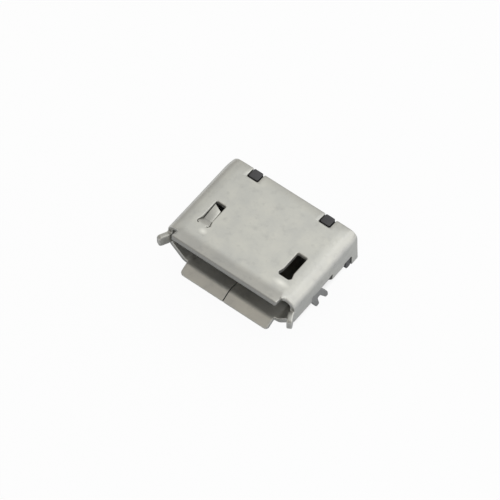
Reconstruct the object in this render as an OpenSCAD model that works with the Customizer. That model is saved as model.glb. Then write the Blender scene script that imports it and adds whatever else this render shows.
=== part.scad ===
// Micro USB socket: a folded sheet shell round a moulded housing that carries five contacts.
// Millimetres. +Z is up from the board, the plug comes in from -Y, and +X is to the right as
// the mouth is faced. The origin is on the board, midway between the two forked legs.

/* [Shell] */
// Width over the two side walls
shell_w = 7.5; // [7.3:0.05:8]
// Height of the top plate over the board
shell_h = 2.45; // [2.4:0.05:2.8]
// Distance from the leg centre line forward to the front edge of the body
front_reach = 2.45; // [2.35:0.05:2.8]
// Distance from the leg centre line back to the rear edge of the body
rear_reach = 2.55; // [2.5:0.05:3]
// Thickness of the sheet
sheet_t = 0.27; // [0.25:0.01:0.32]
// Inside radius of the two top corners
top_bend_r = 0.22; // [0.1:0.02:0.22]
// Height of the 45 degree bevel along each lower corner
bevel_h = 0.9; // [0.8:0.05:0.95]
// Inside radius of the bends at the two ends of the bevel
bevel_bend_r = 0.2; // [0.1:0.02:0.24]
// Distance from the rear edge of the body to the rear edge of its floor
floor_setback = 1.1; // [1:0.05:1.3]
// Width of the seam where the two halves of the floor meet
seam_gap = 0.05; // [0.03:0.01:0.08]
// Width of the seam's dovetail at its neck
dovetail_neck = 0.7; // [0.5:0.05:0.9]
// Width of the seam's dovetail at its head
dovetail_head = 1.1; // [1:0.05:1.3]
// Reach of the seam's dovetail across the centre line
dovetail_reach = 0.42; // [0.3:0.02:0.6]

/* [Lips and ears] */
// Angle at which the top lip rises
top_lip_angle = 20; // [10:1:30]
// Length of the top lip along its slope, past its bend
top_lip_l = 0.55; // [0.5:0.01:0.9]
// Width of the top lip
top_lip_w = 6.16; // [5.4:0.02:6.16]
// Distance from the front edge of the body back to the start of the top lip's bend
top_lip_setback = 0.38; // [0.1:0.01:0.4]
// Inside radius of the top lip's bend
top_lip_bend_r = 1.2; // [0.3:0.05:1.4]
// Fillet where the top lip runs into the front edge of the body
top_lip_fillet = 0.15; // [0.05:0.01:0.15]
// Corner radius at the tip of the top lip
top_lip_tip_r = 0.12; // [0.04:0.01:0.3]
// Angle at which the bottom lip drops
floor_lip_angle = 28; // [10:1:30]
// Length of the bottom lip along its slope, past its bend
floor_lip_l = 0.48; // [0.4:0.02:0.6]
// Width of the bottom lip
floor_lip_w = 5.16; // [4.6:0.02:5.16]
// Corner radius at the tip of the bottom lip
floor_lip_tip_r = 0.2; // [0.1:0.02:0.35]
// Fillet where the bottom lip runs into the front edge of the body
floor_lip_fillet = 0.05; // [0.03:0.01:0.05]
// Angle at which the two ears turn outwards
ear_angle = 28; // [15:1:35]
// Length of an ear past its bend
ear_l = 0.48; // [0.4:0.02:0.6]
// Height of the lower edge of an ear over the board
ear_base_z = 1.16; // [1.1:0.01:1.2]
// Height of an ear from its lower edge to its upper edge
ear_h = 0.66; // [0.6:0.02:0.68]
// Corner radius at the tip of an ear
ear_tip_r = 0.17; // [0.1:0.01:0.28]
// Fillet where an ear runs into the front edge of its wall
ear_fillet = 0.05; // [0.04:0.01:0.08]
// Inside radius where the bottom lip and the ears turn out
flare_bend_r = 0.25; // [0.15:0.05:0.4]

/* [Latch windows] */
// Distance between the centres of the two latch windows
window_pitch = 4.8; // [4.4:0.05:5]
// Width of a latch window's slot
window_w = 0.55; // [0.45:0.01:0.6]
// Width of a latch window at its flared front end
window_mouth_w = 0.8; // [0.7:0.01:0.9]
// Length along Y of the flared end
window_flare_l = 0.42; // [0.35:0.01:0.5]
// Corner radius at the flared end
window_mouth_r = 0.13; // [0.08:0.01:0.15]
// Radius where the flared end runs into the slot
window_waist_r = 0.25; // [0.1:0.05:0.4]
// Length of a whole latch window along Y
window_l = 1.49; // [1.4:0.01:1.6]
// Distance from the rear edge of the body to the rear edge of a latch window
window_setback = 2.59; // [2.3:0.05:2.7]
// Running gap beside a spring tongue in its window
spring_gap = 0.04; // [0.03:0.01:0.07]
// Gap in plan between a spring tongue's longer side and the rear edge of its window
spring_tip_gap = 0.15; // [0.1:0.01:0.4]
// Angle in plan at which the tip of a spring tongue is sheared
spring_shear = 24; // [0:1:30]
// Angle of the left spring tongue at its root
left_spring_root = 22; // [10:1:30]
// Angle of the left spring tongue at its tip, below zero where it rises again
left_spring_tip = -8; // [-8:1:9]
// Length of the steeper stretch at the root of the left spring tongue
left_spring_root_l = 0.3; // [0.2:0.02:0.4]
// Inside radius of the left spring tongue's two bends
left_spring_bend_r = 0.15; // [0.1:0.05:0.3]
// Angle of the right spring tongue, which is folded down over a sharp crease
right_spring_angle = 76; // [64:1:80]
// Length of the right spring tongue past its crease
right_spring_l = 0.75; // [0.5:0.05:0.9]

/* [Legs and tabs] */
// Distance between the mid planes of the two forked legs
leg_pitch = 6.4; // [6.3:0.05:6.5]
// Depth that the legs reach below the board's top face
leg_drop = 1.08; // [1:0.02:1.3]
// Height over the board at which a leg leaves its wall
leg_bend_z = 1.4; // [1.3:0.05:1.5]
// Inside radius of the two bends that set a leg inwards
leg_bend_r = 0.1; // [0.05:0.01:0.15]
// Distance from the leg centre line to the front edge of a leg's upper stretch
leg_front = 0.95; // [0.85:0.05:1.1]
// Distance from the leg centre line to the rear edge of a leg's upper stretch
leg_rear = 0.2; // [0.18:0.01:0.3]
// Height over the board at which a leg begins to narrow
leg_shoulder_z = 0.2; // [0.16:0.02:0.4]
// Distance from the leg centre line to the front edge of a leg at the board
leg_neck = 0.58; // [0.55:0.01:0.7]
// Width of the relief slot in front of a leg
leg_relief_front = 0.12; // [0.08:0.01:0.2]
// Width of the relief slot behind a leg
leg_relief_rear = 0.33; // [0.2:0.01:0.35]
// Distance from the centre of the body to the inner end of the opening that a leg leaves
leg_opening_x = 1.95; // [1.8:0.05:2.05]
// Width of the front tine at its tip
front_tine_w = 0.26; // [0.22:0.01:0.3]
// Distance from the leg centre line to the middle of the front tine's tip, to the front
front_tine_lean = 0.01; // [0:0.01:0.06]
// Height of the front tine's tip over the rear tine's tip
front_tine_lift = 0.06; // [0:0.01:0.1]
// Width of the rear tine at its tip
rear_tine_w = 0.18; // [0.16:0.01:0.2]
// Distance from the leg centre line to the middle of the rear tine's tip, to the rear
rear_tine_lean = 0.7; // [0.65:0.01:0.75]
// Depth below the board at which the rear tine's outer edge turns down
rear_tine_knee = 0.8; // [0.7:0.01:0.82]
// Width of the arch between the two tines
arch_w = 0.18; // [0.16:0.01:0.2]
// Depth of the top of the arch below the board's top face
arch_z = 0.34; // [0.3:0.01:0.4]
// Distance from the leg centre line back to the middle of the arch
arch_setback = 0.05; // [0.03:0.01:0.07]
// Length along Y of the rear tab at the foot of each side wall
tab_l = 0.53; // [0.45:0.01:0.55]
// Height of the lower edge of the rear tabs over the board
tab_z = 0.4; // [0.3:0.02:0.5]
// Height of the top of the notch between a rear tab and the bevel
side_notch_z = 1.12; // [1.11:0.01:1.2]
// Corner radius in the stamped openings
stamp_r = 0.07; // [0.04:0.01:0.08]

/* [Housing] */
// Clearance between the housing and the shell round it
housing_fit = 0.02; // [0.01:0.005:0.04]
// Clearance round the housing's top lugs in their notches
lug_fit = 0.06; // [0.02:0.01:0.07]
// Clearance of the side lugs behind the wall's notch and the rear tab
side_lug_fit = 0.03; // [0.02:0.01:0.06]
// Clearance under the housing to the board
board_gap = 0.02; // [0.01:0.01:0.05]
// Distance from the rear edge of the body to the housing's rear face
base_setback = 0.02; // [0.01:0.01:0.15]
// Width of the notches in the rear edge of the top plate
lug_notch_w = 0.65; // [0.55:0.01:0.75]
// Depth of the notches in the rear edge of the top plate
lug_notch_l = 0.59; // [0.5:0.01:0.65]
// Distance between the centres of the two notches
lug_pitch = 4.25; // [4:0.05:4.6]
// Distance of a top lug's crown below the face of the top plate
lug_recess = 0.02; // [0.01:0.01:0.1]
// Distance of a side lug's face behind the outer face of its wall
side_lug_recess = 0.05; // [0.03:0.01:0.15]
// Length of a side lug along Y
side_lug_l = 0.36; // [0.3:0.01:0.45]
// Height of the lower edge of the side lugs over the board
side_lug_z = 0.4; // [0.3:0.01:0.6]
// Corner radius at the lower front corner of a side lug
side_lug_front_r = 0.18; // [0.1:0.01:0.18]
// Corner radius at the lower rear corner of a side lug
side_lug_rear_r = 0.1; // [0.06:0.01:0.12]
// Corner radius on the other corners of the housing
housing_r = 0.06; // [0.04:0.01:0.08]
// Height of the recess under the housing where the tails come out
tail_recess_h = 0.24; // [0.2:0.01:0.3]
// Width of the tongue
tongue_w = 3.5; // [3.3:0.05:3.9]
// Thickness of the tongue
tongue_t = 0.6; // [0.55:0.01:0.65]
// Gap between the tongue and the top plate
tongue_gap = 0.33; // [0.3:0.01:0.38]
// Distance from the front edge of the body back to the tongue's tip
tongue_setback = 0.9; // [0.7:0.05:1.1]
// Thickness added above and below the tongue at its root
root_step_h = 0.12; // [0.08:0.01:0.2]
// Length of the thicker root of the tongue
root_step_l = 0.35; // [0.2:0.05:0.6]
// Corner radius at the tongue's tip, seen from the side
tongue_nose_r = 0.14; // [0.08:0.01:0.2]
// Corner radius at the tongue's tip, seen from above
tongue_corner_r = 0.25; // [0.1:0.05:0.4]

/* [Contacts] */
// Distance between neighbouring contacts
contact_pitch = 0.65; // [0.6:0.01:0.7]
// Width of a contact
contact_w = 0.36; // [0.3:0.01:0.4]
// Thickness of a contact
contact_t = 0.15; // [0.12:0.01:0.16]
// Inside radius of a contact's bends
contact_bend_r = 0.1; // [0.08:0.01:0.12]
// Height of a contact that stands proud of the tongue
contact_proud = 0.07; // [0.04:0.01:0.08]
// Distance from the tongue's tip back to a contact's tip
contact_setback = 0.3; // [0.25:0.05:0.5]
// Clearance between a contact and the housing
contact_fit = 0.01; // [0.005:0.005:0.015]
// Distance from the housing's front face back to a contact's downward bend
contact_turn = 0.28; // [0.2:0.02:0.3]
// Distance that the tails reach behind the rear edge of the body
tail_reach = 0.55; // [0.3:0.05:0.8]

/* [Hidden] */

// Chords along a quarter turn of a rounded corner or a bend
TURN_STEPS = 10;
// Reach of a cutting solid past the face that it cuts
CUT = 1;
// Straight edge kept beside a fillet
EDGE = 0.01;
// Overlap where one solid of a piece grows out of another
JOIN = 0.05;
CONTACTS = 5;

half_w = shell_w / 2;
inner_w = shell_w - 2 * sheet_t;
ceiling_z = shell_h - sheet_t;
front_y = -front_reach;
rear_y = rear_reach;
floor_rear_y = rear_y - floor_setback;
// Reach of a 45 degree bend's tangent point from its sharp corner, per unit of radius
HALF_BEND = tan(45 / 2);

window_rear_y = rear_y - window_setback;
window_front_y = window_rear_y - window_l;
window_flare_y = window_front_y + window_flare_l;

leg_outer_x = (leg_pitch + sheet_t) / 2;
leg_inset = half_w - leg_outer_x;
// Slanted length that is left between the two 45 degree bends of a leg
leg_slant_l = (leg_inset - (2 * leg_bend_r + sheet_t) * (1 - cos(45))) / sin(45);

tab_front_y = rear_y - tab_l;
base_front_y = floor_rear_y + lug_fit;
base_rear_y = rear_y - base_setback;
base_half_w = inner_w / 2 - housing_fit;
base_top_z = ceiling_z - housing_fit;
// Height at which the bevel of the housing's base, the same as the shell's inside, meets its side
base_bevel_z = bevel_h + (sheet_t + housing_fit) * HALF_BEND;

tongue_top_z = ceiling_z - tongue_gap;
tongue_base_z = tongue_top_z - tongue_t;
tongue_tip_y = front_y + tongue_setback;

contact_z = tongue_base_z - contact_proud;
contact_tip_y = tongue_tip_y + contact_setback;
contact_turn_y = base_front_y + contact_turn;
contact_drop_l = contact_z - 2 * contact_bend_r - contact_t;
tail_start_y = contact_turn_y + 2 * contact_bend_r + contact_t;
tail_end_y = rear_y + tail_reach;

// The direction at a heading of a degrees, and the direction square to its left
function ahead(a) = [cos(a), sin(a)];
function to_left(a) = [-sin(a), cos(a)];
function turned(v, a) = [v.x * cos(a) - v.y * sin(a), v.x * sin(a) + v.y * cos(a)];
function steps_for(turn) = max(2, ceil(TURN_STEPS * abs(turn) / 90));

// The arc that rounds the corner at b, on the way from a to c
function corner_arc(a, b, c, r) =
    let (
        u = (b - a) / norm(b - a),
        v = (c - b) / norm(c - b),
        turn = atan2(cross(u, v), u * v),
        side = sign(turn),
        start = b - u * r * tan(abs(turn) / 2),
        centre = start + side * r * [-u.y, u.x],
        n = steps_for(turn)
    )
    r == 0
        ? [b]
        : [for (k = [0:n]) centre + side * r * turned([u.y, -u.x], turn * k / n)];

// A closed outline from corners that are given as [x, y, radius]
function rounded(corners) =
    let (n = len(corners), p = [for (c = corners) [c.x, c.y]])
    [for (i = [0:n - 1]) each corner_arc(p[(i + n - 1) % n], p[i], p[(i + 1) % n], corners[i].z)];

// Points and headings along one face of a bent strip, whose other face is t to the left.
// Each step is a straight length, a turn to the left and the inside radius of that turn.
function strip_path(p, a, steps, t, i = 0) =
    i == len(steps)
        ? [[p, a]]
        : let (
              q = p + steps[i][0] * ahead(a),
              turn = steps[i][1],
              r = turn > 0 ? steps[i][2] + t : -steps[i][2],
              centre = q + r * to_left(a),
              n = steps_for(turn)
          )
          concat(
              [[p, a]],
              turn == 0 || steps[i][0] == 0 ? [] : [[q, a]],
              turn == 0
                  ? []
                  : [for (k = [1:n - 1]) [centre - r * to_left(a + turn * k / n), a + turn * k / n]],
              strip_path(centre - r * to_left(a + turn), a + turn, steps, t, i + 1)
          );

// The closed section of a bent strip that starts at p with a heading of a degrees
function strip(p, a, steps, t) =
    let (path = strip_path(p, a, steps, t))
    concat(
        [for (s = path) s[0]],
        [for (k = [len(path) - 1:-1:0]) path[k][0] + t * to_left(path[k][1])]
    );

// Extrusions of a section that is drawn in XZ, YZ or XY
module along_y(y0, y1) {
    translate([0, y1, 0])
        rotate([90, 0, 0])
            linear_extrude(y1 - y0)
                children();
}

module along_x(x0, x1) {
    translate([x0, 0, 0])
        rotate([90, 0, 90])
            linear_extrude(x1 - x0)
                children();
}

module along_z(z0, z1) {
    translate([0, 0, z0])
        linear_extrude(z1 - z0)
            children();
}

module block(low, high) {
    translate(low)
        cube(high - low);
}

module both_sides() {
    children();
    mirror([1, 0, 0])
        children();
}

// Section of the shell's outer face, or of a face that lies inset within it
function shell_section(inset) =
    let (
        floor_x = half_w - bevel_h - inset * HALF_BEND,
        wall_x = half_w - inset,
        bevel_z = bevel_h + inset * HALF_BEND,
        low_r = bevel_bend_r + sheet_t - inset,
        top_r = top_bend_r + sheet_t - inset,
        top_z = shell_h - inset
    )
    rounded([
        [floor_x, inset, low_r],
        [wall_x, bevel_z, low_r],
        [wall_x, top_z, top_r],
        [-wall_x, top_z, top_r],
        [-wall_x, bevel_z, low_r],
        [-floor_x, inset, low_r]
    ]);

module tube() {
    along_y(front_y, rear_y)
        difference() {
            polygon(shell_section(0));
            polygon(shell_section(sheet_t));
        }
}

// What is taken off the tip of a flare to round the corner at the origin
module tip_corner(r) {
    polygon(concat(
        corner_arc([-CUT, 0], [0, 0], [0, CUT], r),
        [[CUT, r], [CUT, -CUT], [-r, -CUT]]
    ));
}

// A lip or an ear. Its outer face leaves the plane z = 0 and turns up towards -Y, the bend
// begins at y = setback, and the edge that it grows from is at y = 0.
module flare(w, angle, l, bend_r, setback, fillet, tip_r) {
    half = w / 2;
    root = half + fillet + EDGE;
    steps = [[0, -angle, bend_r], [l, 0, 0]];
    path = strip_path([setback, 0], 180, steps, sheet_t);
    tip = path[len(path) - 1];
    difference() {
        intersection() {
            along_x(-root, root)
                polygon(strip([setback, 0], 180, steps, sheet_t));
            along_z(-CUT, CUT)
                polygon(rounded([
                    [root, setback + CUT, 0],
                    [-root, setback + CUT, 0],
                    [-root, 0, 0],
                    [-half, 0, fillet],
                    [-half, -setback - 2 * CUT, 0],
                    [half, -setback - 2 * CUT, 0],
                    [half, 0, fillet],
                    [root, 0, 0]
                ]));
        }
        translate([0, tip[0].x, tip[0].y])
            rotate([tip[1] - 180, 0, 0])
                both_sides()
                    translate([half, 0, 0])
                        along_z(-CUT, CUT)
                            tip_corner(tip_r);
    }
}

module top_lip() {
    translate([0, front_y, shell_h])
        flare(
            top_lip_w, top_lip_angle, top_lip_l, top_lip_bend_r, top_lip_setback,
            top_lip_fillet, top_lip_tip_r
        );
}

module floor_lip() {
    translate([0, front_y, 0])
        rotate([0, 180, 0])
            flare(
                floor_lip_w, floor_lip_angle, floor_lip_l, flare_bend_r, 0, floor_lip_fillet,
                floor_lip_tip_r
            );
}

module ear() {
    translate([half_w, front_y, ear_base_z + ear_h / 2])
        rotate([0, 90, 0])
            flare(ear_h, ear_angle, ear_l, flare_bend_r, 0, ear_fillet, ear_tip_r);
}

// The stretch of the top plate's front edge that the top lip takes the place of
module top_lip_seat() {
    half = top_lip_w / 2 + top_lip_fillet + EDGE;
    block([-half, front_y - CUT, shell_h / 2], [half, front_y + top_lip_setback, shell_h + CUT]);
}

// A latch window, a slot that flares out to its front edge
module window_outline() {
    half = window_w / 2;
    mouth_half = window_mouth_w / 2;
    polygon(rounded([
        [-mouth_half, window_front_y, window_mouth_r],
        [mouth_half, window_front_y, window_mouth_r],
        [half, window_flare_y, window_waist_r],
        [half, window_rear_y, stamp_r],
        [-half, window_rear_y, stamp_r],
        [-half, window_flare_y, window_waist_r]
    ]));
}

// Side section of the left spring tongue, which leaves the top plate over a soft bend
function left_spring_section() =
    strip(
        [window_front_y - JOIN, ceiling_z],
        0,
        [
            [JOIN, -left_spring_root, left_spring_bend_r],
            [left_spring_root_l, left_spring_root - left_spring_tip, left_spring_bend_r],
            [window_l, 0, 0]
        ],
        sheet_t
    );

// Side section of the right spring tongue, folded down along the window's front edge
function right_spring_section() =
    let (
        crease = [window_front_y, shell_h],
        across = sheet_t * to_left(-right_spring_angle),
        tip = crease + right_spring_l * ahead(-right_spring_angle),
        under = crease - sheet_t * [tan(right_spring_angle / 2), 1],
        root_y = under.x - JOIN
    )
    [[root_y, ceiling_z], under, tip - across, tip, crease, [root_y, shell_h]];

// A spring tongue of the given side section. It fills its window but for the running gap,
// hangs on the straight part of the window's front edge, and is sheared at its tip.
module spring_tongue(section) {
    half = window_w / 2 - spring_gap;
    mouth_half = window_mouth_w / 2 - spring_gap;
    root_half = mouth_half - window_mouth_r;
    start_y = window_front_y + spring_gap;
    corner_r = window_mouth_r - spring_gap;
    long_y = window_rear_y - spring_tip_gap;
    short_y = long_y - 2 * half * tan(spring_shear);
    intersection() {
        along_x(-mouth_half, mouth_half)
            polygon(section);
        along_z(0, shell_h)
            polygon(rounded([
                [-root_half, window_front_y - shell_h, 0],
                [root_half, window_front_y - shell_h, 0],
                [root_half, start_y, 0],
                [mouth_half, start_y, corner_r],
                [half, window_flare_y, window_waist_r],
                [half, short_y, 0],
                [-half, long_y, 0],
                [-half, window_flare_y, window_waist_r],
                [-mouth_half, start_y, corner_r],
                [-root_half, start_y, 0]
            ]));
    }
}

// The outline of a notch in the rear edge of the top plate, or of the lug that fills it
module lug_outline(gap, end_y, end_r) {
    half = lug_notch_w / 2 - gap;
    start_y = rear_y - lug_notch_l + gap;
    polygon(rounded([
        [-half, start_y, stamp_r],
        [half, start_y, stamp_r],
        [half, end_y, end_r],
        [-half, end_y, end_r]
    ]));
}

// The dovetail that one half of the floor reaches across the centre line with, or its seat
module dovetail(x0, gap) {
    neck = dovetail_neck / 2 + gap;
    head = dovetail_head / 2 + gap;
    polygon([
        [x0, -neck],
        [0, -neck],
        [dovetail_reach + gap, -head],
        [dovetail_reach + gap, head],
        [0, neck],
        [x0, neck]
    ]);
}

// The seam down the floor, which steps round the dovetail
module seam() {
    gap = seam_gap / 2;
    along_z(-CUT, shell_h / 2)
        difference() {
            union() {
                translate([-gap, front_y - CUT])
                    square([seam_gap, rear_y - front_y + 2 * CUT]);
                dovetail(-gap, gap);
            }
            dovetail(-CUT, -gap);
        }
}

// The opening that a leg leaves in the wall, the bevel and the floor
module leg_opening() {
    y0 = -leg_front - leg_relief_front;
    y1 = leg_rear + leg_relief_rear;
    intersection() {
        along_x(0, half_w + CUT)
            polygon(rounded([
                [y0, -CUT, 0],
                [y1, -CUT, 0],
                [y1, leg_bend_z, stamp_r],
                [y0, leg_bend_z, stamp_r]
            ]));
        along_z(-CUT, shell_h)
            polygon(rounded([
                [leg_opening_x, y0, stamp_r],
                [half_w + CUT, y0, 0],
                [half_w + CUT, y1, 0],
                [leg_opening_x, y1, stamp_r]
            ]));
    }
}

// Side outline of a leg in YZ, from its root in the wall down to the tips of the two tines
function leg_outline() =
    let (
        front_tip = -front_tine_lean,
        front_tip_z = front_tine_lift - leg_drop,
        rear_tip = rear_tine_lean,
        front_half = front_tine_w / 2,
        rear_half = rear_tine_w / 2,
        arch_front = arch_setback - arch_w / 2,
        arch_rear = arch_setback + arch_w / 2
    )
    rounded([
        [leg_rear, leg_bend_z + JOIN, 0],
        [-leg_front, leg_bend_z + JOIN, 0],
        [-leg_front, leg_shoulder_z, stamp_r],
        [-leg_neck, 0, front_half],
        [front_tip - front_half, front_tip_z, 0.9 * front_half],
        [front_tip + front_half, front_tip_z, 0.9 * front_half],
        [arch_front, -arch_z, stamp_r],
        [arch_rear, -arch_z, stamp_r],
        [rear_tip - rear_half, -leg_drop, 0.9 * rear_half],
        [rear_tip + rear_half, -leg_drop, 0.9 * rear_half],
        [rear_tip + rear_half, -rear_tine_knee, leg_neck],
        [leg_rear, leg_shoulder_z, front_half]
    ]);

// A leg, set inwards from its wall by two bends
module leg() {
    intersection() {
        along_y(front_y, rear_y)
            polygon(strip(
                [half_w - sheet_t, leg_bend_z + sheet_t],
                -90,
                [
                    [sheet_t, -45, leg_bend_r],
                    [leg_slant_l, 45, leg_bend_r],
                    [leg_bend_z + leg_drop, 0, 0]
                ],
                sheet_t
            ));
        along_x(0, half_w)
            polygon(leg_outline());
    }
}

module rear_tab() {
    block([half_w - sheet_t, tab_front_y, tab_z], [half_w, rear_y, side_notch_z + sheet_t]);
}

module shell() {
    color([0.76, 0.76, 0.74]) {
        difference() {
            union() {
                difference() {
                    tube();
                    top_lip_seat();
                    block([-half_w, floor_rear_y, -CUT], [half_w, rear_y + CUT, side_notch_z]);
                }
                top_lip();
                floor_lip();
                both_sides() {
                    ear();
                    rear_tab();
                }
            }
            seam();
            both_sides() {
                leg_opening();
                translate([window_pitch / 2, 0, 0])
                    along_z(shell_h / 2, shell_h + CUT)
                        window_outline();
                translate([lug_pitch / 2, 0, 0])
                    along_z(shell_h / 2, shell_h + CUT)
                        lug_outline(0, rear_y + CUT, 0);
            }
        }
        both_sides()
            leg();
        translate([-window_pitch / 2, 0, 0])
            spring_tongue(left_spring_section());
        translate([window_pitch / 2, 0, 0])
            mirror([1, 0, 0])
                spring_tongue(right_spring_section());
    }
}

// The block at the back of the shell, with the lugs that hold it in the sheet's notches
module housing_base() {
    crown_r = top_bend_r - housing_fit;
    foot_half_w = base_half_w - base_bevel_z + board_gap;
    side_lug_rear_y = tab_front_y - side_lug_fit;
    side_lug_top_z = side_notch_z - side_lug_fit;
    along_y(base_front_y, base_rear_y)
        polygon(rounded([
            [-foot_half_w, board_gap, housing_r],
            [foot_half_w, board_gap, housing_r],
            [base_half_w, base_bevel_z, housing_r],
            [base_half_w, base_top_z, crown_r],
            [-base_half_w, base_top_z, crown_r],
            [-base_half_w, base_bevel_z, housing_r]
        ]));
    both_sides() {
        translate([lug_pitch / 2, 0, 0])
            along_z(ceiling_z - sheet_t, shell_h - lug_recess)
                lug_outline(lug_fit, base_rear_y, stamp_r);
        along_x(foot_half_w, half_w - side_lug_recess)
            polygon(rounded([
                [side_lug_rear_y - side_lug_l, side_lug_z, side_lug_front_r],
                [side_lug_rear_y, side_lug_z, side_lug_rear_r],
                [side_lug_rear_y, side_lug_top_z, housing_r],
                [side_lug_rear_y - side_lug_l, side_lug_top_z, housing_r]
            ]));
    }
}

// The tongue that goes into the plug, thicker at its root
module tongue() {
    half = tongue_w / 2;
    intersection() {
        along_x(-half, half)
            polygon(rounded([
                [tongue_tip_y, tongue_base_z, tongue_nose_r],
                [base_front_y + JOIN, tongue_base_z, 0],
                [base_front_y + JOIN, tongue_top_z, 0],
                [tongue_tip_y, tongue_top_z, tongue_nose_r]
            ]));
        along_z(0, shell_h)
            polygon(rounded([
                [-half, tongue_tip_y, tongue_corner_r],
                [half, tongue_tip_y, tongue_corner_r],
                [half, base_front_y + JOIN, 0],
                [-half, base_front_y + JOIN, 0]
            ]));
    }
    along_x(-half - root_step_h, half + root_step_h)
        polygon(rounded([
            [base_front_y - root_step_l, tongue_base_z - root_step_h, housing_r],
            [base_front_y + JOIN, tongue_base_z - root_step_h, 0],
            [base_front_y + JOIN, tongue_top_z + root_step_h, 0],
            [base_front_y - root_step_l, tongue_top_z + root_step_h, housing_r]
        ]));
}

// Side section of a contact, or of the slot round it at a clearance of gap
function contact_section(gap) =
    strip(
        [contact_tip_y - gap, contact_z - gap],
        0,
        [
            [contact_turn_y - contact_tip_y + gap, -90, contact_bend_r - gap],
            [contact_drop_l, 90, contact_bend_r - gap],
            [tail_end_y - tail_start_y + gap, 0, 0]
        ],
        contact_t + 2 * gap
    );

function contact_x(i) = (i - (CONTACTS - 1) / 2) * contact_pitch;

module contact(i, gap = 0) {
    half = contact_w / 2 + gap;
    along_x(contact_x(i) - half, contact_x(i) + half)
        polygon(contact_section(gap));
}

module housing() {
    recess_half = contact_x(CONTACTS - 1) + contact_w;
    color([0.1, 0.1, 0.11])
        difference() {
            union() {
                housing_base();
                tongue();
            }
            for (i = [0:CONTACTS - 1])
                contact(i, contact_fit);
            block(
                [-recess_half, tail_start_y, -CUT],
                [recess_half, rear_y + CUT, tail_recess_h]
            );
        }
}

module plated_contact(i) {
    color([0.85, 0.7, 0.4])
        contact(i);
}

module contact_1() {
    plated_contact(0);
}

module contact_2() {
    plated_contact(1);
}

module contact_3() {
    plated_contact(2);
}

module contact_4() {
    plated_contact(3);
}

module contact_5() {
    plated_contact(4);
}

shell();
housing();
contact_1();
contact_2();
contact_3();
contact_4();
contact_5();
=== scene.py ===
import math

import bmesh
import bpy
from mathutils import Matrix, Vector
from mathutils.bvhtree import BVHTree


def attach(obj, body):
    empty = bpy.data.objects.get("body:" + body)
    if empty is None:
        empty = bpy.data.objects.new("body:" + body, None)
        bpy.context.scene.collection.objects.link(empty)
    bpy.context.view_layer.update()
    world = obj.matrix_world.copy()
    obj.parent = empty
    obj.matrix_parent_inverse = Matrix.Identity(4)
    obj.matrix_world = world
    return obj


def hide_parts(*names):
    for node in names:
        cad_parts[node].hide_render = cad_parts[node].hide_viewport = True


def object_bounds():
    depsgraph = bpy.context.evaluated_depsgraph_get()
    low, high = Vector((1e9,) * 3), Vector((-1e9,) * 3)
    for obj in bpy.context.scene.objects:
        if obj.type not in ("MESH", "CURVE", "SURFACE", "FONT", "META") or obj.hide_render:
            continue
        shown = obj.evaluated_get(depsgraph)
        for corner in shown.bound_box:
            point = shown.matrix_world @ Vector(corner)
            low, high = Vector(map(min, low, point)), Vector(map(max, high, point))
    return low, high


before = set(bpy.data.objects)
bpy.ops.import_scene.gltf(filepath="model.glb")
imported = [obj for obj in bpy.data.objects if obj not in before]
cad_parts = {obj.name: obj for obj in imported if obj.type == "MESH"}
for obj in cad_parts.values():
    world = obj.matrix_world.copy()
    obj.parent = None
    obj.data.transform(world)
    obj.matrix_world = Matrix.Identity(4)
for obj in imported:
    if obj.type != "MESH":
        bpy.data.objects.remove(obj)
cad_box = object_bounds()

# Contacts: five strips stamped from copper alloy, bent down behind the tongue and out to the
# pads. They are plated with gold, and are pressed into the housing from behind.
MM = 0.001
CONTACTS = 5
CONTACT_EDGE_R = 0.015
WELD = 0.0005
FLAT = math.radians(0.5)
SHARP = math.radians(40)
ROOM_FOR_R = 1.8
GRAIN_DEPTH = 0.004
GOLD_DEEP = (0.80, 0.60, 0.30)
GOLD_PALE = (0.88, 0.68, 0.36)


def welded(node, cuts=()):
    """A node's solid in millimetres, with its corners joined and its flat faces whole.

    Faces that lie across a cut plane stay in two there, so that no face runs round a hole.
    """
    bm = bmesh.new()
    bm.from_mesh(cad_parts[node].data)
    bmesh.ops.scale(bm, verts=bm.verts, vec=(1 / MM, 1 / MM, 1 / MM))
    bmesh.ops.remove_doubles(bm, verts=bm.verts, dist=WELD)
    for point, normal in cuts:
        cut = bmesh.ops.bisect_plane(
            bm, geom=[*bm.verts, *bm.edges, *bm.faces], plane_co=point, plane_no=normal
        )
        for part in cut["geom_cut"]:
            if isinstance(part, bmesh.types.BMEdge):
                part.seam = True
    bmesh.ops.dissolve_limit(
        bm, angle_limit=FLAT, verts=bm.verts, edges=bm.edges, delimit={"SEAM"}
    )
    return bm


def reach(face, edge):
    """How far a face extends from one of its edges."""
    start, end = (v.co for v in edge.verts)
    along = (end - start).normalized()
    away = [v.co - start for v in face.verts]
    return max((a - a.dot(along) * along).length for a in away)


def is_sharp(edge):
    return len(edge.link_faces) == 2 and edge.calc_face_angle(0) > SHARP


def round_edges(bm, radius, chosen=is_sharp):
    """Rounds the chosen edges, but not beside a face too narrow to give up the radius."""
    least = ROOM_FOR_R * radius
    edges = [
        e for e in bm.edges
        if is_sharp(e) and chosen(e) and min(reach(f, e) for f in e.link_faces) > least
    ]
    bmesh.ops.bevel(
        bm, geom=edges, offset=radius, offset_type="OFFSET", segments=3, profile=0.5,
        affect="EDGES", clamp_overlap=False, loop_slide=False, miter_outer="ARC",
    )


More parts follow.
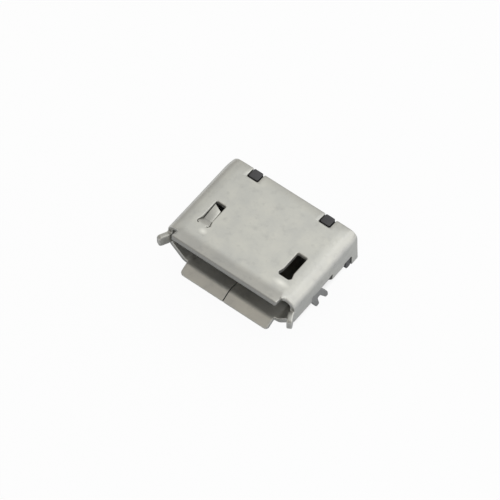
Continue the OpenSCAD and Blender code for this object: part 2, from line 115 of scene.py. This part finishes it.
def piece_from(bm, name, node, material):
    """Makes the visible piece that stands for a node and rides on the socket."""
    bmesh.ops.scale(bm, verts=bm.verts, vec=(MM, MM, MM))
    mesh = bpy.data.meshes.new(name)
    bm.to_mesh(mesh)
    bm.free()
    mesh.shade_smooth()
    mesh.set_sharp_from_angle(angle=SHARP)
    mesh.materials.append(material)
    piece = bpy.data.objects.new(name, mesh)
    bpy.context.scene.collection.objects.link(piece)
    piece.modifiers.new("flat faces stay flat", "WEIGHTED_NORMAL").keep_sharp = True
    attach(piece, "root")
    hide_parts(node)


def joined(tree, kind, **values):
    """Adds a shader node and fills in its settings and inputs.

    An input goes by its name, or by its place as i0, i1 and so on. Its value is a number, a
    colour or a socket to link to it.
    """
    node = tree.nodes.new(kind)
    for name, value in values.items():
        if hasattr(node, name):
            setattr(node, name, value)
            continue
        place = int(name[1:]) if name[0] == "i" and name[1:].isdigit() else name.replace("_", " ")
        if isinstance(value, bpy.types.NodeSocket):
            tree.links.new(value, node.inputs[place])
        else:
            node.inputs[place].default_value = value
    return node


def shader(name):
    """A new material, with its node tree and its Principled shader."""
    material = bpy.data.materials.new(name)
    material.use_nodes = True
    return material, material.node_tree, material.node_tree.nodes["Principled BSDF"]


def grain_group():
    """Fine unevenness of a finished surface: a broad mask, a fine mask and a bumped normal."""
    group = bpy.data.node_groups.new("surface_grain", "ShaderNodeTree")
    for name in ("Broad Scale", "Fine Scale", "Height"):
        group.interface.new_socket(name, in_out="INPUT", socket_type="NodeSocketFloat")
    for name in ("Broad", "Fine"):
        group.interface.new_socket(name, in_out="OUTPUT", socket_type="NodeSocketFloat")
    group.interface.new_socket("Normal", in_out="OUTPUT", socket_type="NodeSocketVector")
    given = group.nodes.new("NodeGroupInput").outputs
    place = group.nodes.new("ShaderNodeTexCoord").outputs["Object"]
    broad = joined(
        group, "ShaderNodeTexNoise", Vector=place, Scale=given["Broad Scale"], Detail=5.0,
        Roughness=0.6,
    )
    fine = joined(
        group, "ShaderNodeTexNoise", Vector=place, Scale=given["Fine Scale"], Detail=3.0,
        Roughness=0.7,
    )
    bump = joined(
        group, "ShaderNodeBump", Strength=given["Height"], Distance=GRAIN_DEPTH * MM,
        Height=fine.outputs["Fac"],
    )
    out = group.nodes.new("NodeGroupOutput")
    group.links.new(broad.outputs["Fac"], out.inputs["Broad"])
    group.links.new(fine.outputs["Fac"], out.inputs["Fine"])
    group.links.new(bump.outputs["Normal"], out.inputs["Normal"])
    return group


surface_grain = grain_group()


def grained(tree, broad, fine, height):
    """Puts the grain into a material and returns its outputs."""
    node = tree.nodes.new("ShaderNodeGroup")
    node.node_tree = surface_grain
    node.inputs["Broad Scale"].default_value = broad
    node.inputs["Fine Scale"].default_value = fine
    node.inputs["Height"].default_value = height
    return node.outputs


def between(tree, mask, low, high, start=0.0, end=1.0):
    """A value that runs from low to high as the mask runs from start to end."""
    node = joined(
        tree, "ShaderNodeMapRange", Value=mask, From_Min=start, From_Max=end,
        To_Min=low, To_Max=high,
    )
    return node.outputs["Result"]


def ramp(tree, value, none, full):
    """A mask that runs from 0 where the value is at none to 1 where it is at full."""
    return between(tree, value, 0, 1, none, full)


def mixed(tree, mask, first, second):
    """A colour that runs from the first to the second with the mask."""
    node = tree.nodes.new("ShaderNodeMix")
    node.data_type = "RGBA"
    tree.links.new(mask, node.inputs["Factor"])
    for place, value in (("A", first), ("B", second)):
        socket = next(s for s in node.inputs if s.name == place and s.type == "RGBA")
        if isinstance(value, bpy.types.NodeSocket):
            tree.links.new(value, socket)
        else:
            socket.default_value = (*value, 1)
    return next(s for s in node.outputs if s.type == "RGBA")


gold, tree, bsdf = shader("contact_gold")
grain = grained(tree, broad=1500, fine=12000, height=0.3)
cloud = ramp(tree, grain["Broad"], 0.35, 0.65)
tree.links.new(mixed(tree, cloud, GOLD_DEEP, GOLD_PALE), bsdf.inputs["Base Color"])
tree.links.new(between(tree, grain["Fine"], 0.2, 0.36), bsdf.inputs["Roughness"])
tree.links.new(grain["Normal"], bsdf.inputs["Normal"])
bsdf.inputs["Metallic"].default_value = 1

for number in range(1, CONTACTS + 1):
    node = f"contact_{number}"
    bm = welded(node)
    round_edges(bm, CONTACT_EDGE_R)
    piece_from(bm, f"{node}_strip", node, gold)

# Housing: one moulding in black heat-resistant plastic, with the tongue in front and two lugs
# on top and one at each side that sit in the notches of the sheet.
HOUSING_EDGE_R = 0.02
INSIDE_Y = 0.2
OUTSIDE_Y = 0.5
BLACK_DEEP = (0.034, 0.033, 0.040)
BLACK_PALE = (0.044, 0.043, 0.051)


def worked_out(tree, operation, *values):
    """The result of a sum on numbers or sockets."""
    inputs = {f"i{place}": value for place, value in enumerate(values)}
    return joined(tree, "ShaderNodeMath", operation=operation, **inputs).outputs[0]


black, tree, bsdf = shader("housing_plastic")
grain = grained(tree, broad=700, fine=30000, height=0.6)
cloud = ramp(tree, grain["Broad"], 0.3, 0.7)
tree.links.new(mixed(tree, cloud, BLACK_DEEP, BLACK_PALE), bsdf.inputs["Base Color"])
matt = between(tree, grain["Fine"], 0.36, 0.56)

# Inside the shell the mould was left rougher, and the plastic shines less there.
place = tree.nodes.new("ShaderNodeTexCoord").outputs["Object"]
along = joined(tree, "ShaderNodeSeparateXYZ", Vector=place).outputs["Y"]
inside = ramp(tree, along, OUTSIDE_Y * MM, INSIDE_Y * MM)
tree.links.new(worked_out(tree, "MULTIPLY_ADD", inside, 0.3, matt), bsdf.inputs["Roughness"])
tree.links.new(between(tree, inside, 0.5, 0.2), bsdf.inputs["Specular IOR Level"])
tree.links.new(grain["Normal"], bsdf.inputs["Normal"])
bsdf.inputs["IOR"].default_value = 1.65

bm = welded("housing")
round_edges(bm, HOUSING_EDGE_R)
piece_from(bm, "housing_moulding", "housing", black)

# Shell: steel strip stamped out flat, folded round to a seam in the floor, and plated with
# nickel. Its lips and ears are turned out, and its tongues and legs are bent from the sheet.
SHEET_T = 0.27
HALF_W = 3.75
TOP_Z = 2.45
MID_Z = 1.15
REAR_Y = 2.55
FRONT_Y = -2.45
CORNER_R = 0.49
EDGE_R = 0.055
FINE_EDGE_R = 0.018
SEAM_REACH = 0.5
SEAM_FRONT_Y = FRONT_Y - 0.3
NEAR = 0.002
SLIVER = 0.0105
SLACK = 0.01
SNAP = 0.00001
CUT_X = 2.3


def on_seam(edge):
    """Whether an edge belongs to the seam in the floor, which ends behind the hanging lip."""
    ends = [v.co for v in edge.verts]
    beside = all(abs(co.x) < SEAM_REACH and co.z < SEAM_REACH for co in ends)
    return beside and not all(co.y < SEAM_FRONT_Y for co in ends)


# The two latch windows, and the width that they gain towards the front.
WINDOW_X = 2.4
WINDOW_LEAST_Z = 1
WINDOW_FRONT_Y = -1.53
WINDOW_FLARE_Y = -1.11
WINDOW_REAR_Y = -0.04
WINDOW_HALF_W = 0.275
WINDOW_FLARE_W = 0.125
WINDOW_FRONT_HALF_W = 0.29
WINDOW_RIM = 0.02


def in_window(edge):
    """Whether an edge belongs to a spring tongue or to the front end of its window."""
    for x, y, z in (v.co for v in edge.verts):
        flare = max(0, (WINDOW_FLARE_Y - y) / (WINDOW_FLARE_Y - WINDOW_FRONT_Y))
        half_w = WINDOW_HALF_W + WINDOW_FLARE_W * flare - WINDOW_RIM
        if y < WINDOW_FRONT_Y + 2 * NEAR:
            half_w = WINDOW_FRONT_HALF_W
        along = WINDOW_FRONT_Y - 2 * NEAR < y < WINDOW_REAR_Y - WINDOW_RIM
        if not (z > WINDOW_LEAST_Z and along and abs(abs(x) - WINDOW_X) < half_w):
            return False
    return True


def is_fine(edge):
    return on_seam(edge) or in_window(edge)


# The top lip rises between two roots, and its rise fades out over a short stretch beside them.
LIP_BEND_Y = -2.07
LIP_ROOT_X = 3.24
LIP_BLEND = 0.3
LIP_LEAST_Z = 2
ROOT_W = 0.03
OVER_ROOT_Y = 0.1
SAME_POINT = 0.001


def cut_across(bm, faces, point, normal, snap=0.0):
    """Cuts some faces of the sheet in two where a plane meets them.

    Their edges and points go in once each, in the order of the faces.
    """
    edges = dict.fromkeys(e for f in faces for e in f.edges)
    verts = dict.fromkeys(v for f in faces for v in f.verts)
    bmesh.ops.bisect_plane(
        bm, geom=[*faces, *edges, *verts], plane_co=point, plane_no=normal, dist=snap
    )


def blend_lip(bm):
    """Lets the rise of the top lip run out towards its two roots, as drawn sheet does."""
    for side in (-1, 1):
        faces = [
            f for f in bm.faces
            if min(v.co.z for v in f.verts) > LIP_LEAST_Z
            and f.calc_center_median().y < LIP_BEND_Y
        ]
        cut_across(bm, faces, (side * (LIP_ROOT_X - LIP_BLEND), 0, 0), (1, 0, 0))
    for v in bm.verts:
        x, y, z = v.co
        if z < LIP_LEAST_Z or y > LIP_BEND_Y or abs(x) > LIP_ROOT_X + ROOT_W:
            continue
        flat_z = TOP_Z if z > TOP_Z - SHEET_T / 3 else TOP_Z - SHEET_T
        share = (LIP_ROOT_X - abs(x) + max(0, FRONT_Y - y)) / LIP_BLEND
        if abs(y - FRONT_Y) < NEAR and abs(x) > LIP_ROOT_X - 2 * SLACK:
            v.co = (math.copysign(LIP_ROOT_X, x), FRONT_Y, flat_z)
        elif share < 1 and abs(x) < LIP_ROOT_X + SAME_POINT:
            v.co.z = flat_z + max(share, 0) * (z - flat_z)


def clean_roots(bm):
    """Gives each root of the top lip a point of its own, and takes out the slivers beside it."""
    for edge in list(bm.edges):
        low, high = sorted(edge.verts, key=lambda v: v.co.y)
        beside = all(
            v.co.z > LIP_LEAST_Z and -SLACK < abs(v.co.x) - LIP_ROOT_X < ROOT_W
            for v in edge.verts
        )
        over = low.co.y < LIP_BEND_Y - OVER_ROOT_Y and high.co.y > LIP_BEND_Y + OVER_ROOT_Y
        if beside and over:
            root = (math.copysign(LIP_ROOT_X, low.co.x), LIP_BEND_Y, low.co.z)
            bmesh.utils.edge_split(edge, low, 0.5)[1].co = root
    bmesh.ops.remove_doubles(bm, verts=bm.verts, dist=SAME_POINT)
    flush = [
        e for e in bm.edges
        if all(
            v.co.z > LIP_LEAST_Z and abs(abs(v.co.x) - LIP_ROOT_X) < NEAR for v in e.verts
        )
        and {round(v.co.y, 2) for v in e.verts} == {FRONT_Y, LIP_BEND_Y}
    ]
    bmesh.ops.dissolve_edges(bm, edges=flush, use_verts=False)


# Cut faces are marked for the material, and so are those that look at the sheet's other parts.
INSET = 0.006
T_SLACK = 0.006
SAME_WAY = 0.97
LOOK_R = 1.2 * EDGE_R
DEEP = 1
ACROSS = 8


def spot(face):
    """A point of a face, close inside the middle of its longest edge."""
    loop = max(face.loops, key=lambda l: l.edge.calc_length())
    start, end = loop.vert.co, loop.link_loop_next.vert.co
    return (start + end) / 2 + INSET * face.normal.cross(end - start).normalized()


def mark_faces(bm, plain):
    """Marks the faces that a punch has cut, and those that look at another part of the sheet.

    On a cut face the metal behind is not as deep as the sheet is thick. The faces are judged
    on the sheet before its edges were rounded.
    """
    tree = BVHTree.FromBMesh(plain)
    plain.faces.ensure_lookup_table()
    marks = []
    for face in plain.faces:
        start = spot(face)
        behind = tree.ray_cast(start - NEAR * face.normal, -face.normal, DEEP)[3]
        depth = DEEP if behind is None else behind + NEAR
        ahead = tree.ray_cast(start + NEAR * face.normal, face.normal, ACROSS)[3]
        marks.append((abs(depth - SHEET_T) > T_SLACK, ahead is not None))
    sheared = bm.faces.layers.float.new("sheared")
    inner = bm.faces.layers.float.new("inner")
    for face in bm.faces:
        near = tree.find_nearest_range(spot(face), LOOK_R)
        if near:
            best = max(near, key=lambda n: n[1].dot(face.normal))
            same = best[1].dot(face.normal) > SAME_WAY
            face[sheared] = float(same and marks[best[2]][0])
            face[inner] = float(marks[best[2]][1])


# The outer face rolls in by DROOP over the last stretch, and gives by SOFT across the top bends.
DROOP_L = 0.65
DROOP = 0.07
DROOP_SLICES = 6
DROOP_SLICE_X = (0.6, 1.6, 2.65)
SOFT_X = 2.88
SOFT_WALL_L = 0.2
SOFT = 0.03
SOFT_SLICES = 5
SOFT_SLICE_L = 0.08
ROOT_SLICES = (0.02, 0.12, 0.3)


def slice_at(bm, point, normal, from_y=-math.inf, from_x=0):
    """Cuts the faces of the top and of the walls across, to give them points there."""
    faces = [
        f for f in bm.faces
        if min(v.co.z for v in f.verts) > MID_Z
        and min(v.co.y for v in f.verts) > from_y
        and min(abs(v.co.x) for v in f.verts) > from_x - SAME_POINT
    ]
    cut_across(bm, faces, point, normal, snap=SNAP)


def slice_top(bm):
    """Gives the rear edge, the top bends and the roots of the lip points to be moved."""
    for step in range(DROOP_SLICES):
        slice_at(bm, (0, REAR_Y - DROOP_L * (1 - step / DROOP_SLICES), 0), (0, 1, 0))
    for side in (-1, 1):
        for x in DROOP_SLICE_X:
            slice_at(bm, (side * x, 0, 0), (1, 0, 0), from_y=REAR_Y - DROOP_L - SLACK)
        for step in range(SOFT_SLICES):
            slice_at(bm, (side * (SOFT_X + SOFT_SLICE_L * step), 0, 0), (1, 0, 0))
    for behind in ROOT_SLICES:
        slice_at(bm, (0, LIP_BEND_Y + behind, 0), (0, 1, 0), from_x=SOFT_X)


def soften(bm):
    """Rolls the outer face in towards its rear edge, and softens the two top bends."""
    core_x, core_z = HALF_W - CORNER_R, TOP_Z - CORNER_R
    bend_l = CORNER_R * math.pi / 2
    soft_l = core_x + bend_l + SOFT_WALL_L - SOFT_X
    for v in bm.verts:
        x, y, z = v.co
        if z < MID_Z:
            continue
        core = Vector((math.copysign(min(abs(x), core_x), x), y, min(z, core_z)))
        away = v.co - core
        depth = CORNER_R - away.length
        if depth > SHEET_T / 2 or away.length < SLACK:
            continue
        if z < core_z:
            along = core_x + bend_l + core_z - z
        elif abs(x) < core_x:
            along = abs(x)
        else:
            along = core_x + CORNER_R * math.atan2(abs(away.x), away.z)
        share = min(1, max(0, (along - SOFT_X) / soft_l))
        amount = SOFT * math.sin(math.pi * share) ** 2
        amount += DROOP * max(0, (y - REAR_Y + DROOP_L) / DROOP_L) ** 2
        v.co -= away.normalized() * amount * (1 - max(0, depth) / (SHEET_T / 2))


# Two cuts across the windows keep every face of the top free of holes.
plain = welded("shell", [((side * CUT_X, 0, 0), (1, 0, 0)) for side in (-1, 1)])
bmesh.ops.remove_doubles(plain, verts=plain.verts, dist=SLIVER)
blend_lip(plain)
clean_roots(plain)
sheet = plain.copy()
round_edges(sheet, EDGE_R, lambda e: not is_fine(e))
round_edges(sheet, FINE_EDGE_R, is_fine)
mark_faces(sheet, plain)
plain.free()
slice_top(sheet)
soften(sheet)

NICKEL_GREY = (0.555, 0.555, 0.54)
NICKEL_PALE = (0.62, 0.615, 0.585)
nickel, tree, bsdf = shader("shell_nickel")
grain = grained(tree, broad=900, fine=9000, height=0.25)
place = tree.nodes.new("ShaderNodeTexCoord").outputs["Object"]
parts = joined(tree, "ShaderNodeSeparateXYZ", Vector=place)
along, height = parts.outputs["Y"], parts.outputs["Z"]
cloud = ramp(tree, grain["Broad"], 0.36, 0.64)
colour = mixed(tree, cloud, NICKEL_GREY, NICKEL_PALE)

# Handling has left faint grey smudges on the plating.
SMUDGE_GREY = (0.47, 0.47, 0.46)
smudge = joined(tree, "ShaderNodeTexNoise", Vector=place, Scale=2400.0, Detail=4.0, Roughness=0.6)
smudge = between(tree, smudge.outputs["Fac"], 0, 0.6, 0.54, 0.72)
colour = mixed(tree, smudge, colour, SMUDGE_GREY)

# The punch leaves its cut faces a little duller.
CUT_GREY = (0.395, 0.395, 0.385)
sheared = joined(tree, "ShaderNodeAttribute", attribute_name="sheared").outputs["Fac"]
sheared = between(tree, sheared, 0, 0.6)
inner = joined(tree, "ShaderNodeAttribute", attribute_name="inner").outputs["Fac"]
colour = mixed(tree, sheared, colour, CUT_GREY)

# Behind the mouth the faces that look at another part of the sheet are painted darker, as
# painted shade inside the hollow shell, apart from the cut walls of the windows.
INNER_SHADE_GREY = (0.2, 0.2, 0.19)
deep = ramp(tree, along, -1.9 * MM, -1.4 * MM)
below = ramp(tree, height, 2.2 * MM, 2.12 * MM)
deep = worked_out(tree, "MULTIPLY", worked_out(tree, "MULTIPLY", deep, below), inner)
colour = mixed(tree, deep, colour, INNER_SHADE_GREY)

# The front end of the top lip is painted darker: painted shade where it turns forward and down.
LIP_END_SHADE_GREY = (0.325, 0.325, 0.316)
at_end = ramp(tree, along, -2.92 * MM, -3.02 * MM)
on_top = ramp(tree, height, 2.2 * MM, 2.3 * MM)
colour = mixed(tree, worked_out(tree, "MULTIPLY", at_end, on_top), colour, LIP_END_SHADE_GREY)

# The legs are painted darker below the bevel, up to a ragged line: painted shade under the body.
LEG_SHADE_GREY = (0.38, 0.38, 0.38)
ragged = worked_out(tree, "MULTIPLY_ADD", grain["Broad"], 0.25 * MM, height)
leg_shade = ramp(tree, ragged, 0.45 * MM, 0.3 * MM)
on_legs = ramp(tree, along, -1.0 * MM, -0.95 * MM)
colour = mixed(tree, worked_out(tree, "MULTIPLY", leg_shade, on_legs), colour, LEG_SHADE_GREY)


def patch(tree, place, centre, half_sizes):
    """A mask for one oval patch that fades out to its rim, from millimetres."""
    away = joined(
        tree, "ShaderNodeVectorMath", operation="SUBTRACT", i0=place, i1=[c * MM for c in centre]
    )
    away = joined(
        tree, "ShaderNodeVectorMath", operation="DIVIDE", i0=away.outputs["Vector"],
        i1=[s * MM for s in half_sizes],
    )
    away = joined(tree, "ShaderNodeVectorMath", operation="LENGTH", i0=away.outputs["Vector"])
    return ramp(tree, away.outputs["Value"], 1, 0.1)


# The spring tongues down in the windows are painted darker: painted shade in the window hollows.
TONGUE_SHADE_GREY = (0.35, 0.35, 0.34)
left = patch(tree, place, (-WINDOW_X, -0.75, 1.95), (0.5, 0.95, 0.48))
right = patch(tree, place, (WINDOW_X, -1.2, 1.75), (0.6, 0.7, 0.68))
tongue_shade = between(tree, worked_out(tree, "MAXIMUM", left, right), 0, 1, 0, 0.5)
colour = mixed(tree, tongue_shade, colour, TONGUE_SHADE_GREY)

# A pale spot on the top in front of each window is a painted highlight, standing for a slight
# bulge of the sheet at each tongue's root.
BULGE_HIGHLIGHT = (0.84, 0.83, 0.80)
left = patch(tree, place, (-2.14, -1.80, TOP_Z), (0.26, 0.2, 1))
right = patch(tree, place, (2.5, -1.86, TOP_Z), (0.5, 0.22, 1))
colour = mixed(tree, worked_out(tree, "MAXIMUM", left, right), colour, BULGE_HIGHLIGHT)
tree.links.new(colour, bsdf.inputs["Base Color"])

satin = between(tree, grain["Fine"], 0.30, 0.40, 0.3, 0.7)
rough = worked_out(tree, "MULTIPLY_ADD", sheared, 0.12, satin)
rough = worked_out(tree, "MULTIPLY_ADD", inner, 0.2, rough)
tree.links.new(rough, bsdf.inputs["Roughness"])
tree.links.new(grain["Normal"], bsdf.inputs["Normal"])
bsdf.inputs["Metallic"].default_value = 1
piece_from(sheet, "shell_sheet", "shell", nickel)

# Table: a plain white surface under the tips of the legs. The camera sees it as white all
# round the socket, but not through the gaps under it, and metal sees it as white from where
# the socket's shadow ends.
TABLE_GAP = 0.02
TABLE_REACH = 1000
TABLE_GLOW = 0.95
TABLE_COOL = (0.77, 0.79, 0.83)
TABLE_PALE = (0.79, 0.81, 0.85)
table_z = cad_box[0][2] - TABLE_GAP * MM
far = TABLE_REACH * MM
corners = [(x * far, y * far, table_z) for x, y in ((-1, -1), (1, -1), (1, 1), (-1, 1))]
mesh = bpy.data.meshes.new("table")
mesh.from_pydata(corners, [], [(0, 1, 2, 3)])
table = bpy.data.objects.new("table", mesh)
bpy.context.scene.collection.objects.link(table)

white, tree, bsdf = shader("table_white")
grain = grained(tree, broad=60, fine=900, height=0.1)
tree.links.new(mixed(tree, grain["Broad"], TABLE_COOL, TABLE_PALE), bsdf.inputs["Base Color"])
tree.links.new(between(tree, grain["Fine"], 0.75, 0.85), bsdf.inputs["Roughness"])

# The mask is 0 under the socket and 1 beside it, in front of it and behind it.
place = tree.nodes.new("ShaderNodeTexCoord").outputs["Object"]
parts = joined(tree, "ShaderNodeSeparateXYZ", Vector=place)
side = worked_out(tree, "ABSOLUTE", parts.outputs["X"])
beside = ramp(tree, side, 2.1 * MM, 3.1 * MM)
before = ramp(tree, parts.outputs["Y"], -0.7 * MM, -1.7 * MM)
behind = ramp(tree, parts.outputs["Y"], 1.5 * MM, 2.5 * MM)
clear = worked_out(tree, "MAXIMUM", beside, worked_out(tree, "MAXIMUM", before, behind))
away = joined(tree, "ShaderNodeVectorMath", operation="LENGTH", i0=place).outputs["Value"]
unshaded = ramp(tree, away, 8 * MM, 24 * MM)

path = tree.nodes.new("ShaderNodeLightPath").outputs
seen = worked_out(tree, "MULTIPLY", path["Is Camera Ray"], clear)
mirrored = worked_out(tree, "MAXIMUM", path["Is Glossy Ray"], path["Is Transmission Ray"])
mirrored = worked_out(tree, "MULTIPLY", mirrored, unshaded)
share = worked_out(tree, "MULTIPLY", worked_out(tree, "MAXIMUM", seen, mirrored), TABLE_GLOW)
glow = tree.nodes.new("ShaderNodeEmission")
mix = joined(tree, "ShaderNodeMixShader", Fac=share, i1=bsdf.outputs[0], i2=glow.outputs[0])
tree.links.new(mix.outputs[0], tree.nodes["Material Output"].inputs["Surface"])
mesh.materials.append(white)

# Room and lamps: an even pale room with broad soft panels round the socket. The brightest
# one stands above it, behind and to the right, and the one over the front is dim and warm.
ROOM_COLOUR = (1, 0.985, 0.915, 1)
ROOM_STRENGTH = 0.53
PANEL_AWAY = 150
OVERHEAD = (-0.337, 0.439, 0.833)
room = bpy.data.worlds.new("room")
bpy.context.scene.world = room
room.use_nodes = True
background = room.node_tree.nodes["Background"]
background.inputs["Color"].default_value = ROOM_COLOUR
background.inputs["Strength"].default_value = ROOM_STRENGTH


def panel(name, direction, size, power, colour=(1, 1, 1)):
    """A square soft panel in a given direction, from its size in millimetres and its watts."""
    light = bpy.data.lights.new(name, "AREA")
    light.size = size * MM
    light.energy = power
    light.color = colour
    towards = Vector(direction).normalized()
    body = bpy.data.objects.new(name, light)
    body.location = towards * PANEL_AWAY * MM
    body.rotation_euler = towards.to_track_quat("Z", "Y").to_euler()
    bpy.context.scene.collection.objects.link(body)


panel("overhead_panel", OVERHEAD, 90, 0.0055, (0.95, 1, 0.95))
panel("overhead_wide", OVERHEAD, 200, 0.011, (0.9, 0.9, 1))
panel("right_wide", (0.47, 0.44, 0.77), 240, 0.124, (0.99, 1, 0.99))
panel("right_low", (0.88, 0.44, 0.05), 70, 0.006, (0.95, 0.97, 1))
panel("rear_panel", (-0.337, 0.9, 0.28), 90, 0.0012)
panel("front_top_panel", (-0.34, -0.25, 0.9), 90, 0.002, (1, 0.6, 0.3))

# Camera: a long lens that looks down at the mouth from the front right, at the photograph's
# viewing angle. A small shift sets the socket where it is in the frame.
AZIMUTH = math.radians(37.484)
ELEVATION = math.radians(56.384)
DISTANCE = 160
AIM = Vector((0, -0.25, 2.45))
FILM_W = 36
FOCAL_L = 245.87
FRAME_PX = 500
SHIFT_X_PX = -9.29
SHIFT_Y_PX = -17.64
NEAREST = 10
FARTHEST = 2000
back = Vector((
    math.sin(AZIMUTH) * math.cos(ELEVATION),
    -math.cos(AZIMUTH) * math.cos(ELEVATION),
    math.sin(ELEVATION),
))
lens = bpy.data.cameras.new("camera")
lens.sensor_width = FILM_W
lens.lens = FOCAL_L
lens.shift_x = SHIFT_X_PX / FRAME_PX
lens.shift_y = SHIFT_Y_PX / FRAME_PX
lens.clip_start = NEAREST * MM
lens.clip_end = FARTHEST * MM
camera = bpy.data.objects.new("camera", lens)
camera.location = (AIM + DISTANCE * back) * MM
camera.rotation_euler = back.to_track_quat("Z", "Y").to_euler()
bpy.context.scene.collection.objects.link(camera)
bpy.context.scene.camera = camera
bpy.context.scene.view_settings.view_transform = "Standard"
